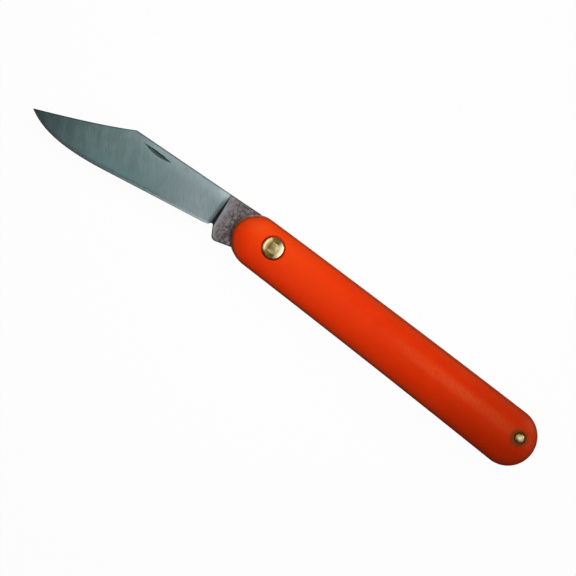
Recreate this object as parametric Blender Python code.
"""Folding grafting knife, lying on its side and open.

Slip-joint construction: two brass liners hold a steel back spring between them,
a clip-point blade turns on the front pin against that spring, and two moulded
plastic scales cover the liners.

Frame: the origin is on the flat strip along the far scale, on the handle's centre
line and about 4 mm nearer the butt than the middle of its length. +X runs along
the handle to its butt, +Y to its back (the spring side), +Z out of the near side,
along the pivot.
The shapes are drawn round the middle of the pivot pin, and PIVOT_AT places that
point in the frame. All dimensions are in millimetres and are turned into metres
by MM. "Front" is towards -X, "up" in an outline is towards +Y.
"""

import math

import bmesh
import bpy
from mathutils import Vector
from mathutils.geometry import delaunay_2d_cdt

MM = 0.001

# ---- handle outline, seen from the near side ----
NOSE_X, NOSE_Y, NOSE_R = -5.04, -1.31, 7.02  # front arc of the handle
NOSE_LOW_X = -3.5  # the belly edge turns into the nose here, as a longer quarter ellipse
BUTT_X, BUTT_Y, BUTT_R = 79.8, -1.34, 7.87  # rear arc of the handle
HANDLE_BOW = 0.2  # both long edges bow towards the back by this much
ARC_STEPS = 20  # steps in each of the two end arcs
SIDE_STEPS = 12  # steps in each long edge

# ---- thickness stack, from the middle plane out to one side ----
STACK_GAP = 0.04  # play between neighbouring layers
BLADE_HALF = 0.98
SPRING_HALF = 1.00
LINER_IN = SPRING_HALF + STACK_GAP
LINER_OUT = LINER_IN + 0.50
SCALE_IN = LINER_OUT + STACK_GAP
SCALE_SIDE = 1.95  # top of the scale's upright edge
SCALE_TOP = 4.90  # flat centre strip

PIVOT_AT = Vector((-42.0, 1.32, SCALE_TOP))

# ---- liners and scales ----
LINER_INSET = 0.04  # the liners stop this far inside the handle's outline
CROWN_SHARE = 0.84  # share of the way from outline to centre line where the crown is full height
CROWN_POWER = 1.8  # superellipse exponent of the crown
CROWN_STEPS = (0.0, 0.02, 0.07, 0.16, 0.30, 0.50, 0.72, 1.0)  # rings, as shares of the crown
NOSE_SETBACK = 0.60  # the scales stop short of the liners by this much round the nose
# Angles round the nose, anticlockwise from +X, where the setback starts, is full, fades and ends
SETBACK_START, SETBACK_FULL, SETBACK_FADE, SETBACK_END = 85, 135, 205, 260

# ---- pins ----
PIVOT = (0.0, 0.0)
PIVOT_R = 1.20
REAR_PIN = (82.35, 0.06)
REAR_PIN_R = 1.20
SPRING_PIN = (38.0, 4.20)
SPRING_PIN_R = 1.00
PIN_CLEARANCE = 0.05  # added to a pin's radius for its hole in the liners, spring and blade
PIVOT_HOLE_R = PIVOT_R + PIN_CLEARANCE
PIN_STEPS = 36
SPRING_PIN_STEPS = 28
WASHER_R = 2.88
WASHER_BOTTOM = 3.90

# Half profiles of the pins as (radius, height), from the axis at the top down the shank
PIVOT_PROFILE = [
    (0.0, 4.84), (0.45, 4.835), (0.90, 4.81), (1.25, 4.76),
    (1.44, 4.68), (1.45, 4.62), (PIVOT_R, 4.36), (PIVOT_R, 2.0),
]
REAR_PIN_PROFILE = [
    (0.0, 4.90), (0.40, 4.885), (0.75, 4.84), (1.05, 4.75),
    (1.26, 4.61), (1.30, 4.48), (REAR_PIN_R, 4.28), (REAR_PIN_R, 2.0),
]
SPRING_PIN_PROFILE = [(0.0, LINER_OUT), (0.92, LINER_OUT), (SPRING_PIN_R, 1.46)]
# Closed section of the washer as (radius, height), from the lower inner corner up
WASHER_PROFILE = [
    (PIVOT_HOLE_R, WASHER_BOTTOM), (PIVOT_HOLE_R, 4.32), (1.51, 4.60), (1.52, 4.72),
    (1.85, 4.745), (2.25, 4.80), (2.50, 4.82), (2.70, 4.77), (2.83, 4.64),
    (WASHER_R, 4.48), (WASHER_R, 4.00), (WASHER_R - 0.10, WASHER_BOTTOM),
]

# ---- cutters ----
SCALE_CUT_LOW, SCALE_CUT_HIGH = 1.0, 6.0  # ends of the scales' cutters
LINER_CUT_MARGIN = 1.0  # the liners' cutters overshoot each face by this much
MIDDLE_CUT_HALF = 2.0  # half length of the spring's and the blade's cutters
COUNTERBORE_R = 3.28
COUNTERBORE_FLOOR = 3.86
REAR_SCALE_HOLE_R = REAR_PIN_R + 0.06
# Cutter profiles as (radius, height), from the axis at the top to the axis at the bottom
COUNTERBORE_PROFILE = [
    (0, SCALE_CUT_HIGH), (COUNTERBORE_R + 0.04, SCALE_CUT_HIGH),
    (COUNTERBORE_R, COUNTERBORE_FLOOR), (PIVOT_HOLE_R, COUNTERBORE_FLOOR),
    (PIVOT_HOLE_R, SCALE_CUT_LOW), (0, SCALE_CUT_LOW),
]
FLARED_HOLE_PROFILE = [
    (0, SCALE_CUT_HIGH), (2.60, SCALE_CUT_HIGH),
    (1.42, 4.42), (REAR_SCALE_HOLE_R, 4.25),
    (REAR_SCALE_HOLE_R, SCALE_CUT_LOW), (0, SCALE_CUT_LOW),
]

# ---- slip joint ----
SPRING_FACE_DEG = 3.9  # slope of the spring's working face
SPRING_FACE_R = 3.60  # its distance from the pivot axis
FLAT_R = 3.55  # distance of the tang's open and closed flats from the pivot axis
CAM_R = 4.42  # radius of the tang's round end between the two flats
KICK_LINE_DEG = 17.4  # slope of the closed flat while the blade is open
SHOULDER_X = -1.85  # face of the tang that meets the spring's front end

# ---- back spring ----
SPRING_FRONT_X = -1.75
SPRING_FACE_END_X = 16.0  # rear end of the working face
SPRING_BUTT_LOW_Y = -5.0  # the outline joins the butt arc at this height
# Lower edge behind the working face, front to rear, as (x, y)
SPRING_LOWER_EDGE = [
    (18.2, 4.30), (21.0, 3.25), (25.0, 2.65), (31.0, 2.20), (38.0, 1.95),
    (46.0, 1.75), (58.0, 1.30), (69.0, 0.90), (73.0, 0.30), (75.4, -1.30),
    (76.6, -3.40), (78.6, -4.85), (82.0, -5.25), (86.35, -5.35),
]
SPRING_SPAN_STEPS = 2  # steps between neighbouring points of the lower edge

# ---- blade outline while open ----
TIP = (-73.40, -9.56)
CLIP_CORNER = (-47.85, 2.70)
CLIP_CURVE = (CLIP_CORNER, (-56.0, -2.06), TIP)
CLIP_STEPS = 10
SPINE_KINK = (-18.0, 4.49)
SHOULDER_TOP = (SHOULDER_X, 5.60)
HEEL = (-17.8, -5.58)
EDGE_STRAIGHT_END = (-46.0, -10.62)
EDGE_STRAIGHT_STEPS = 4
BELLY_CURVE = (EDGE_STRAIGHT_END, (-56.6, -12.62), (-66.6, -13.62), TIP)
BELLY_STEPS = 14
NOTCH_CORNER, NOTCH_R = (-16.95, -4.23), 0.50
KICK_CORNER, KICK_R = (-14.53, -8.27), 1.50
FILLET_STEPS = 6
CAM_STEPS = 10

# ---- blade section ----
SPINE_HALF_AT_PLUNGE, SPINE_HALF_AT_CLIP, SPINE_HALF_AT_TIP = 0.98, 0.84, 0.16
GRIND_EDGE_HALF = 0.13  # half thickness where the flat grind meets the cutting bevel
GRIND_EDGE_SHARE = 0.6  # its upper limit, as a share of the way from edge to spine thickness
CUT_EDGE_HALF = 0.03
BEVEL_WIDTH = 0.50
BEVEL_SHARE = 0.5  # largest share of the blade's depth that the bevel takes
PLUNGE_GRIND = ((-17.60, 4.51), (-17.52, -5.10))  # end line of the grind, spine to edge side
PLUNGE_TANG = ((-17.20, 4.54), (-16.10, -5.55))  # start line of the unground tang
SPINE_STATIONS = (-8.0, PLUNGE_TANG[0][0], PLUNGE_GRIND[0][0], -27.0, -38.0)  # x, rear to front

# ---- mesh lines inside the blade's outline ----
BEVEL_LINE_SETBACK, BEVEL_LINE_STEPS = 1.6, 18  # its start behind the tip, and its steps
GRIND_ROW_SHARES = (0.33, 0.66)  # of the way from edge to spine
GRIND_ROW_SETBACK, GRIND_ROW_REAR_X, GRIND_ROW_STEPS = 3.0, -18.2, 10
PLUNGE_LINE_STEPS = 4
TANG_LINE_DROP = 0.25  # the tang's line is drawn this far lower at its lower end
MERGE_DISTANCE = 1e-4
TINY = 1e-6  # keeps the divisions safe at the tip, where the depth is nil

# ---- nail nick, near side only ----
NICK_FRONT, NICK_REAR = (-44.3, 1.31), (-35.3, 1.50)
NICK_STEPS = 16
NICK_SWELL_POWER = 0.8
NICK_RISE, NICK_BOW, NICK_DEPTH = 0.30, 1.08, 0.42
NICK_FLOOR_OFFSET = 0.18  # from the upper wall's foot line down to the deepest line
NICK_LEAN = 0.10  # how far the cutter's upper wall leans outwards above the blade
NICK_MIN_BOW, NICK_MIN_FLOOR_OFFSET, NICK_MIN_DEPTH = 0.02, 0.008, 0.012  # at both ends
NICK_LOWER_SINK = 0.002  # the lower edge starts this far under the blade's surface
NICK_LOWER_REACH, NICK_LOWER_LIFT = 0.6, 0.35  # the cutter's run-out past the lower edge
NICK_OVERHANG = 0.5  # height of the cutter above the blade

# ---- shading and empties ----
SMOOTH_DEG = 30
BLADE_SMOOTH_DEG = 12
EMPTY_SIZE = 5


# -------------------------------------------------------------- plane geometry
def lerp(start, end, share):
    return start + (end - start) * share


def clamp(share):
    return min(max(share, 0.0), 1.0)


def ease(share):
    """Rises smoothly from 0 to 1 while share does."""
    share = clamp(share)
    return share * share * (3 - 2 * share)


def spaced(start, end, steps):
    """steps + 1 evenly spaced values, both ends included."""
    return [lerp(start, end, k / steps) for k in range(steps + 1)]


def arc(centre, radii, start, end, steps):
    """Points along an arc of an ellipse with these (x, y) radii, angles in radians."""
    return [
        (centre[0] + radii[0] * math.cos(angle), centre[1] + radii[1] * math.sin(angle))
        for angle in spaced(start, end, steps)
    ]


def line_y(start, end, x):
    """y at x on the line through two points."""
    return lerp(start[1], end[1], (x - start[0]) / (end[0] - start[0]))


def line_x(start, end, y):
    """x at y on the line through two points."""
    return lerp(start[0], end[0], (y - start[1]) / (end[1] - start[1]))


def bezier_point(controls, t):
    degree = len(controls) - 1
    return tuple(
        sum(
            math.comb(degree, k) * (1 - t) ** (degree - k) * t**k * control[axis]
            for k, control in enumerate(controls)
        )
        for axis in (0, 1)
    )


def bezier(controls, steps):
    """steps + 1 points along the curve, both ends included."""
    return [bezier_point(controls, k / steps) for k in range(steps + 1)]


def bezier_y(controls, x):
    """y at x on a curve that runs towards -X, found by bisection."""
    low, high = 0.0, 1.0
    for _ in range(40):
        middle = (low + high) / 2
        found_x, found_y = bezier_point(controls, middle)
        if found_x > x:
            low = middle
        else:
            high = middle
    return found_y


def fillet(before, corner, after, radius):
    """The corner rounded by an arc of this radius."""
    corner = Vector(corner)
    back = (Vector(before) - corner).normalized()
    ahead = (Vector(after) - corner).normalized()
    half_angle = back.angle(ahead) / 2
    centre = corner + (back + ahead).normalized() * (radius / math.sin(half_angle))
    cut_back = radius / math.tan(half_angle)
    from_centre = corner + back * cut_back - centre
    to_centre = corner + ahead * cut_back - centre
    start = math.atan2(from_centre.y, from_centre.x)
    end = math.atan2(to_centre.y, to_centre.x)
    turn = (end - start + math.pi) % (2 * math.pi) - math.pi
    return arc(centre, (radius, radius), start, start + turn, FILLET_STEPS)


def smooth_through(points, per_span):
    """A Catmull-Rom curve through the points."""
    out = [points[0]]
    for k in range(len(points) - 1):
        before = points[max(k - 1, 0)]
        start, end = points[k], points[k + 1]
        after = points[min(k + 2, len(points) - 1)]
        for t in spaced(0.0, 1.0, per_span)[1:]:
            out.append(
                tuple(
                    0.5
                    * (
                        2 * b
                        + (c - a) * t
                        + (2 * a - 5 * b + 4 * c - d) * t * t
                        + (3 * b - a - 3 * c + d) * t**3
                    )
                    for a, b, c, d in zip(before, start, end, after)
                )
            )
    return out


def inset(points, distance):
    """The closed anticlockwise outline moved inwards along its normals."""
    out = []
    for k, (x, y) in enumerate(points):
        before = points[k - 1]
        after = points[(k + 1) % len(points)]
        along_x, along_y = after[0] - before[0], after[1] - before[1]
        length = math.hypot(along_x, along_y)
        out.append((x - along_y / length * distance, y + along_x / length * distance))
    return out


# ------------------------------------------------------------- handle outline
def handle_side(x, side):
    """y of the handle's long edge at x: side is 1 for the back and -1 for the belly."""
    share = (x - NOSE_X) / (BUTT_X - NOSE_X)
    straight = lerp(NOSE_Y + side * NOSE_R, BUTT_Y + side * BUTT_R, share)
    return straight + HANDLE_BOW * 4 * share * (1 - share)


def handle_outline():
    """The handle's outline, anticlockwise from the top of the nose."""
    nose, butt = (NOSE_X, NOSE_Y), (BUTT_X, BUTT_Y)
    quarter = math.pi / 2
    low_radii = (NOSE_LOW_X - (NOSE_X - NOSE_R), NOSE_Y - handle_side(NOSE_LOW_X, -1))
    points = arc(nose, (NOSE_R, NOSE_R), quarter, math.pi, ARC_STEPS // 2)
    points += arc((NOSE_LOW_X, NOSE_Y), low_radii, math.pi, 3 * quarter, ARC_STEPS // 2)[1:]
    points += [(x, handle_side(x, -1)) for x in spaced(NOSE_LOW_X, BUTT_X, SIDE_STEPS)[1:-1]]
    points += arc(butt, (BUTT_R, BUTT_R), -quarter, quarter, ARC_STEPS)
    points += [(x, handle_side(x, 1)) for x in spaced(BUTT_X, NOSE_X, SIDE_STEPS)[1:-1]]
    return points


def scale_outline():
    """The handle's outline with its nose pulled in, so that a rim of liner shows there."""
    points = []
    for x, y in handle_outline():
        turn = math.degrees(math.atan2(y - NOSE_Y, x - NOSE_X)) % 360
        growing = ease((turn - SETBACK_START) / (SETBACK_FULL - SETBACK_START))
        fading = ease((SETBACK_END - turn) / (SETBACK_END - SETBACK_FADE))
        reach = math.dist((x, y), (NOSE_X, NOSE_Y))
        keep = 1 - NOSE_SETBACK * growing * fading / reach
        points.append((lerp(NOSE_X, x, keep), lerp(NOSE_Y, y, keep)))
    return points


def towards_middle(points, share):
    """The outline drawn in towards the handle's centre line by this share of the way."""
    out = []
    for x, y in points:
        middle_x = min(max(x, NOSE_X), BUTT_X)
        middle_y = line_y((NOSE_X, NOSE_Y), (BUTT_X, BUTT_Y), middle_x)
        out.append((lerp(x, middle_x, share), lerp(y, middle_y, share)))
    return out


# -------------------------------------------------------------- object makers
def material(name, colour, roughness, metallic):
    made = bpy.data.materials.new(name)
    made.use_nodes = True
    shader = made.node_tree.nodes["Principled BSDF"]
    shader.inputs["Base Color"].default_value = (*colour, 1.0)
    shader.inputs["Roughness"].default_value = roughness
    shader.inputs["Metallic"].default_value = metallic
    made.diffuse_color = (*colour, 1.0)
    return made


def place(at):
    """Where a point of the middle plane is in the frame, in metres."""
    return (PIVOT_AT + Vector((*at, 0.0))) * MM


def add_mesh(name, bm, at):
    """Writes the bmesh, which is in millimetres round the object's own origin."""
    bmesh.ops.remove_doubles(bm, verts=bm.verts, dist=1e-5)
    bmesh.ops.recalc_face_normals(bm, faces=bm.faces)
    bmesh.ops.scale(bm, vec=(MM, MM, MM), verts=bm.verts)
    mesh = bpy.data.meshes.new(name)
    bm.to_mesh(mesh)
    bm.free()
    obj = bpy.data.objects.new(name, mesh)
    bpy.context.scene.collection.objects.link(obj)
    obj.location = place(at)
    return obj


def add_piece(name, bm, made_of, parent, at=PIVOT, smooth_deg=SMOOTH_DEG):
    """Adds one of the knife's own pieces, with its material, shading and parent."""
    obj = add_mesh(name, bm, at)
    obj.parent = parent
    obj.location -= parent.location
    obj.data.materials.append(made_of)
    obj.data.shade_smooth()
    obj.data.set_sharp_from_angle(angle=math.radians(smooth_deg))
    return obj


def add_empty(name, at=PIVOT):
    made = bpy.data.objects.new(name, None)
    made.empty_display_size = EMPTY_SIZE * MM
    made.location = place(at)
    bpy.context.scene.collection.objects.link(made)
    return made


def plate(outline, low, high):
    """A flat plate with this outline between two heights."""
    bm = bmesh.new()
    base = bm.faces.new([bm.verts.new((x, y, low)) for x, y in outline])
    raised = bmesh.ops.extrude_face_region(bm, geom=[base])
    verts = [item for item in raised["geom"] if isinstance(item, bmesh.types.BMVert)]
    bmesh.ops.translate(bm, verts=verts, vec=(0, 0, high - low))
    bmesh.ops.triangulate(bm, faces=[face for face in bm.faces if len(face.verts) > 4])
    return bm


def turned(profile, steps=PIN_STEPS, ring=False):
    """A body of revolution about Z.

    The profile is (radius, height) points, from axis to axis, or a closed loop for a ring.
    """
    bm = bmesh.new()
    verts = [bm.verts.new((radius, 0, z)) for radius, z in profile]
    pairs = list(zip(verts, verts[1:]))
    if ring:
        pairs.append((verts[-1], verts[0]))
    edges = [bm.edges.new(pair) for pair in pairs]
    bmesh.ops.spin(
        bm,
        geom=verts + edges,
        axis=(0, 0, 1),
        cent=(0, 0, 0),
        dvec=(0, 0, 0),
        angle=2 * math.pi,
        steps=steps,
        use_merge=True,
    )
    return bm


def on_side(profile, side):
    """The profile on the near side (1), or turned over to the far side (-1)."""
    return [(radius, side * z) for radius, z in profile]


def mirrored(half):
    """A profile from the axis at the top down the shank, continued to the far side."""
    return half + on_side(reversed(half), -1)


def cut(target, name, bm, at=PIVOT):
    """Cuts this shape out of the target."""
    cutter = add_mesh(name, bm, at)
    cutter.hide_render = True
    cutter.display_type = "WIRE"
    modifier = target.modifiers.new(name, "BOOLEAN")
    modifier.operation = "DIFFERENCE"
    modifier.solver = "EXACT"
    modifier.object = cutter


def hole(target, name, centre, radius, low, high):
    """Cuts a plain round hole between two heights."""
    cut(target, name, turned([(0, high), (radius, high), (radius, low), (0, low)]), at=centre)


# -------------------------------------------------------------------- scales
def crown_height(share):
    """Height of the scale's surface at this share of the crown in from the edge."""
    rise = (1 - (1 - share) ** CROWN_POWER) ** (1 / CROWN_POWER)
    return lerp(SCALE_SIDE, SCALE_TOP, rise)


def make_scale(name, side, made_of, parent):
    """side is 1 for the near scale and -1 for the far one."""
    outline = scale_outline()
    rings = [(outline, SCALE_IN)]
    for share in CROWN_STEPS:
        rings.append((towards_middle(outline, share * CROWN_SHARE), crown_height(share)))
    bm = bmesh.new()
    loops = [[bm.verts.new((x, y, side * z)) for x, y in ring] for ring, z in rings]
    for low, high in zip(loops, loops[1:]):
        for k in range(len(outline)):
            after = (k + 1) % len(outline)
            bm.faces.new((low[k], low[after], high[after], high[k]))
    bm.faces.new(reversed(loops[0]))
    bm.faces.new(loops[-1])
    scale = add_piece(name, bm, made_of, parent)

    # counterbore for the washer, with a clearance hole for the pivot pin below it
    cut(scale, name + "_pivot_cutter", turned(on_side(COUNTERBORE_PROFILE, side)))
    # hole for the rear pin, flared at its mouth
    cut(scale, name + "_rear_cutter", turned(on_side(FLARED_HOLE_PROFILE, side)), at=REAR_PIN)


# -------------------------------------------------------------------- liners
def make_liner(name, side, made_of, parent):
    low, high = sorted((side * LINER_IN, side * LINER_OUT))
    outline = inset(handle_outline(), LINER_INSET)
    liner = add_piece(name, plate(outline, low, high), made_of, parent)
    for suffix, centre, pin_radius in (
        ("_pivot_cutter", PIVOT, PIVOT_R),
        ("_spring_pin_cutter", SPRING_PIN, SPRING_PIN_R),
        ("_rear_cutter", REAR_PIN, REAR_PIN_R),
    ):
        hole(
            liner,
            name + suffix,
            centre,
            pin_radius + PIN_CLEARANCE,
            low - LINER_CUT_MARGIN,
            high + LINER_CUT_MARGIN,
        )


# --------------------------------------------------------------- back spring
def joint_face_y(distance, x):
    """y at x on the line of the spring's slope that lies this far above the pivot axis."""
    slope = math.radians(SPRING_FACE_DEG)
    return (distance + math.sin(slope) * x) / math.cos(slope)


def spring_outline():
    """Anticlockwise, from the lower front corner."""
    face_front = (SPRING_FRONT_X, joint_face_y(SPRING_FACE_R, SPRING_FRONT_X))
    face_rear = (SPRING_FACE_END_X, joint_face_y(SPRING_FACE_R, SPRING_FACE_END_X))
    butt_start = math.asin((SPRING_BUTT_LOW_Y - BUTT_Y) / BUTT_R)
    points = [face_front]
    points += smooth_through([face_rear] + SPRING_LOWER_EDGE, SPRING_SPAN_STEPS)
    points += arc((BUTT_X, BUTT_Y), (BUTT_R, BUTT_R), butt_start, math.pi / 2, ARC_STEPS)
    points += [(x, handle_side(x, 1)) for x in spaced(BUTT_X, SPRING_FRONT_X, SIDE_STEPS)[1:]]
    return points


def make_spring(made_of, parent):
    """The spring's origin is on its middle pin."""
    outline = [(x - SPRING_PIN[0], y - SPRING_PIN[1]) for x, y in spring_outline()]
    bm = plate(outline, -SPRING_HALF, SPRING_HALF)
    spring = add_piece("back_spring", bm, made_of, parent, at=SPRING_PIN)
    for name, centre, pin_radius in (
        ("back_spring_pin_cutter", SPRING_PIN, SPRING_PIN_R),
        ("back_spring_rear_cutter", REAR_PIN, REAR_PIN_R),
    ):
        hole(
            spring, name, centre, pin_radius + PIN_CLEARANCE, -MIDDLE_CUT_HALF, MIDDLE_CUT_HALF
        )


# --------------------------------------------------------------------- blade
def edge_y(x):
    """y of the cutting edge at x, from its straight part and its belly curve."""
    if x >= EDGE_STRAIGHT_END[0]:
        return line_y(EDGE_STRAIGHT_END, HEEL, x)
    return bezier_y(BELLY_CURVE, x)


def spine_y(x):
    """y of the spine, or of the clip, at x."""
    if x >= SPINE_KINK[0]:
        return line_y(SPINE_KINK, SHOULDER_TOP, x)
    if x >= CLIP_CORNER[0]:
        return line_y(CLIP_CORNER, SPINE_KINK, x)
    return bezier_y(CLIP_CURVE, x)


def bevel_width(x):
    return min(BEVEL_WIDTH, BEVEL_SHARE * (spine_y(x) - edge_y(x)))


def spine_half(x):
    """Half thickness of the spine: it tapers slowly to the clip, then fast to the tip."""
    clip_x = CLIP_CORNER[0]
    if x >= clip_x:
        share = (x - clip_x) / (PLUNGE_GRIND[0][0] - clip_x)
        return lerp(SPINE_HALF_AT_CLIP, SPINE_HALF_AT_PLUNGE, clamp(share))
    share = (clip_x - x) / (clip_x - TIP[0])
    return lerp(SPINE_HALF_AT_CLIP, SPINE_HALF_AT_TIP, clamp(share))


def ground_half(x, y):
    """Half thickness on the flat grind and on the cutting bevel."""
    edge = edge_y(x)
    bevel = bevel_width(x)
    at_spine = spine_half(x)
    at_bevel = min(GRIND_EDGE_HALF, lerp(CUT_EDGE_HALF, at_spine, GRIND_EDGE_SHARE))
    from_edge = y - edge
    if from_edge <= bevel:
        return lerp(CUT_EDGE_HALF, at_bevel, clamp(from_edge / max(bevel, TINY)))
    grind_depth = max(spine_y(x) - edge - bevel, TINY)
    return lerp(at_bevel, at_spine, clamp((from_edge - bevel) / grind_depth))


def blade_half(x, y):
    """Half thickness of the blade anywhere on its outline or inside it."""
    grind_x = line_x(*PLUNGE_GRIND, y)
    tang_x = line_x(*PLUNGE_TANG, y)
    if x <= grind_x:
        return ground_half(x, y)
    if x >= tang_x:
        return BLADE_HALF
    return lerp(ground_half(grind_x, y), BLADE_HALF, (x - grind_x) / (tang_x - grind_x))


def flat_end_angle(normal_deg, turn):
    """Angle where a tang flat meets the cam's circle; turn is 1 for its anticlockwise end."""
    return math.radians(normal_deg) + turn * math.acos(FLAT_R / CAM_R)


def blade_outline():
    """Anticlockwise from the tip.

    Cutting edge, heel, notch, kick, closed flat, cam, open flat, shoulder, spine, clip.
    """
    cam_start = flat_end_angle(KICK_LINE_DEG - 90, 1)
    cam_end = flat_end_angle(SPRING_FACE_DEG + 90, -1)
    cam = arc(PIVOT, (CAM_R, CAM_R), cam_start, cam_end, CAM_STEPS)
    straight = spaced(EDGE_STRAIGHT_END[0], HEEL[0], EDGE_STRAIGHT_STEPS)[1:]

    points = bezier(BELLY_CURVE, BELLY_STEPS)[::-1]
    points += [(x, edge_y(x)) for x in straight]
    points += fillet(HEEL, NOTCH_CORNER, KICK_CORNER, NOTCH_R)
    points += fillet(NOTCH_CORNER, KICK_CORNER, cam[0], KICK_R)
    points += cam
    points.append((SHOULDER_X, joint_face_y(FLAT_R, SHOULDER_X)))
    points.append(SHOULDER_TOP)
    points += [(x, spine_y(x)) for x in SPINE_STATIONS]
    points += bezier(CLIP_CURVE, CLIP_STEPS)[:-1]
    return points


def blade_mesh_lines():
    """Open lines inside the outline where the blade's section changes."""
    # top of the cutting bevel, from near the tip to the notch
    bevel_x = spaced(TIP[0] + BEVEL_LINE_SETBACK, PLUNGE_GRIND[1][0], BEVEL_LINE_STEPS)
    lines = [[(x, edge_y(x) + bevel_width(x)) for x in bevel_x]]
    # rows along the grind, which carry its taper towards the tip
    row_x = spaced(TIP[0] + GRIND_ROW_SETBACK, GRIND_ROW_REAR_X, GRIND_ROW_STEPS)
    for share in GRIND_ROW_SHARES:
        lines.append([(x, lerp(edge_y(x), spine_y(x), share)) for x in row_x])
    # the two border lines of the plunge
    for (top_x, _), (low_x, low_y), drop in (
        (*PLUNGE_GRIND, 0.0),
        (*PLUNGE_TANG, TANG_LINE_DROP),
    ):
        line_xs = spaced(top_x, low_x, PLUNGE_LINE_STEPS)
        line_ys = spaced(spine_y(top_x), low_y - drop, PLUNGE_LINE_STEPS)
        lines.append(list(zip(line_xs, line_ys)))
    return lines


def blade_body():
    """The outline and its inner lines triangulated, then given thickness on both sides."""
    verts = [Vector(point) for point in blade_outline()]
    border = list(range(len(verts)))
    edges = []
    for line in blade_mesh_lines():
        first = len(verts)
        verts.extend(Vector(point) for point in line)
        edges.extend((k, k + 1) for k in range(first, len(verts) - 1))
    inside_only = 1
    flat, _, faces, *_ = delaunay_2d_cdt(verts, edges, [border], inside_only, MERGE_DISTANCE)

    bm = bmesh.new()
    near = [bm.verts.new((v.x, v.y, blade_half(v.x, v.y))) for v in flat]
    far = [bm.verts.new((v.x, v.y, -blade_half(v.x, v.y))) for v in flat]
    face_sides = []
    for face in faces:
        bm.faces.new([near[k] for k in face])
        bm.faces.new([far[k] for k in reversed(face)])
        face_sides += zip(face, face[1:] + face[:1])
    # a side with no neighbour running the other way is on the rim
    known = set(face_sides)
    for start, end in face_sides:
        if (end, start) not in known:
            bm.faces.new((near[end], near[start], far[start], far[end]))
    return bm


def nick_cutter():
    """A wedge with a steep upper wall and a shallow lower wall that bows out."""
    front, rear = Vector(NICK_FRONT), Vector(NICK_REAR)
    along = (rear - front).normalized()
    down = Vector((along.y, -along.x))
    bm = bmesh.new()
    sections = []
    for share in spaced(0.0, 1.0, NICK_STEPS):
        swell = math.sin(math.pi * share) ** NICK_SWELL_POWER
        upper = front.lerp(rear, share) - down * (NICK_RISE * swell)
        upper_out = upper - down * (NICK_LEAN * swell)
        floor = upper + down * (NICK_FLOOR_OFFSET * swell + NICK_MIN_FLOOR_OFFSET)
        lower = upper + down * max(NICK_BOW * swell, NICK_MIN_BOW)
        lower_out = lower + down * NICK_LOWER_REACH
        surface = blade_half(upper.x, upper.y)
        floor_z = surface - max(NICK_DEPTH * swell, NICK_MIN_DEPTH)
        lower_z = blade_half(lower.x, lower.y) - NICK_LOWER_SINK
        top = surface + NICK_OVERHANG
        section = (
            (upper_out, top),
            (floor, floor_z),
            (lower, lower_z),
            (lower_out, lower_z + NICK_LOWER_LIFT),
            (lower_out, top),
        )
        sections.append([bm.verts.new((point.x, point.y, z)) for point, z in section])
    for first, second in zip(sections, sections[1:]):
        for k in range(len(first)):
            after = (k + 1) % len(first)
            bm.faces.new((first[k], first[after], second[after], second[k]))
    bm.faces.new(sections[0])
    bm.faces.new(list(reversed(sections[-1])))
    return bm


def make_blade(made_of, parent):
    blade = add_piece("blade", blade_body(), made_of, parent, smooth_deg=BLADE_SMOOTH_DEG)
    hole(
        blade, "blade_pivot_cutter", PIVOT, PIVOT_HOLE_R, -MIDDLE_CUT_HALF, MIDDLE_CUT_HALF
    )
    cut(blade, "blade_nick_cutter", nick_cutter())


# ---------------------------------------------------------------------- pins
def make_pins(made_of, parent):
    for name, profile, steps, at in (
        ("pivot_pin", PIVOT_PROFILE, PIN_STEPS, PIVOT),
        ("rear_pin", REAR_PIN_PROFILE, PIN_STEPS, REAR_PIN),
        ("spring_pin", SPRING_PIN_PROFILE, SPRING_PIN_STEPS, SPRING_PIN),
    ):
        add_piece(name, turned(mirrored(profile), steps), made_of, parent, at=at)


def make_washer(name, side, made_of, parent):
    add_piece(name, turned(on_side(WASHER_PROFILE, side), ring=True), made_of, parent)


# -------------------------------------------------------------------- model
def main():
    for obj in list(bpy.data.objects):
        bpy.data.objects.remove(obj, do_unlink=True)

    plastic = material(
        "scale_plastic", colour=(0.80, 0.075, 0.010), roughness=0.42, metallic=0.0
    )
    liner_brass = material("liner_brass", colour=(0.72, 0.50, 0.22), roughness=0.35, metallic=1.0)
    pin_brass = material("pin_brass", colour=(0.80, 0.62, 0.30), roughness=0.25, metallic=1.0)
    washer_brass = material(
        "washer_brass", colour=(0.80, 0.64, 0.34), roughness=0.28, metallic=1.0
    )
    blade_steel = material("blade_steel", colour=(0.50, 0.55, 0.56), roughness=0.32, metallic=1.0)
    spring_steel = material(
        "spring_steel", colour=(0.42, 0.41, 0.40), roughness=0.40, metallic=1.0
    )

    handle = add_empty("handle_frame")
    blade_axis = add_empty("blade_pivot_axis")
    spring_axis = add_empty("spring_flex_axis", SPRING_PIN)

    for place_name, side in (("near", 1), ("far", -1)):
        make_scale("scale_" + place_name, side, plastic, handle)
        make_liner("liner_" + place_name, side, liner_brass, handle)
        make_washer("pivot_washer_" + place_name, side, washer_brass, handle)
    make_spring(spring_steel, spring_axis)
    make_blade(blade_steel, blade_axis)
    make_pins(pin_brass, handle)


main()
